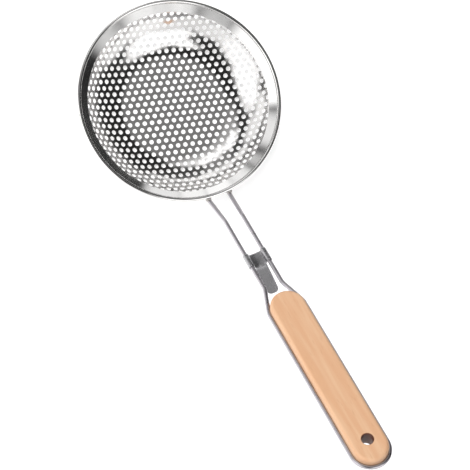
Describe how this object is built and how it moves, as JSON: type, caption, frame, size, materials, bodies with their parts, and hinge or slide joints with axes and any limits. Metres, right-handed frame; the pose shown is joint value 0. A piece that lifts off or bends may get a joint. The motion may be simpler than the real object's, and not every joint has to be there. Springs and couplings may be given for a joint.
{
  "type": "spider skimmer",
  "caption": "Kitchen skimmer: a shallow perforated steel bowl with a rolled rim on a bent wire handle with a wooden grip, a hanging hole and a hook that rests on a pot's edge.",
  "frame": {"origin": "middle of the flat underside of the bowl", "axes": "+Z along the bowl's axis, out of its mouth; the handle runs towards -Y and rises; X is across the handle"},
  "size_m": [0.14, 0.3373, 0.1318],
  "materials": {
    "bowl_steel": "bright pressed stainless sheet",
    "rim_steel": "polished stainless strip",
    "wire_steel": "bright drawn stainless wire",
    "clip_steel": "satin stainless sheet",
    "grip_wood": "smooth oiled beech"
  },
  "bodies": {
    "root": {"perforated_bowl": "bowl_steel", "rim_band": "rim_steel", "rim_core_wire": "wire_steel", "handle_wire": "wire_steel", "weld_left": "wire_steel", "weld_right": "wire_steel", "pot_hook_clip": "clip_steel", "wood_grip": "grip_wood"}
  },
  "joints": []
}
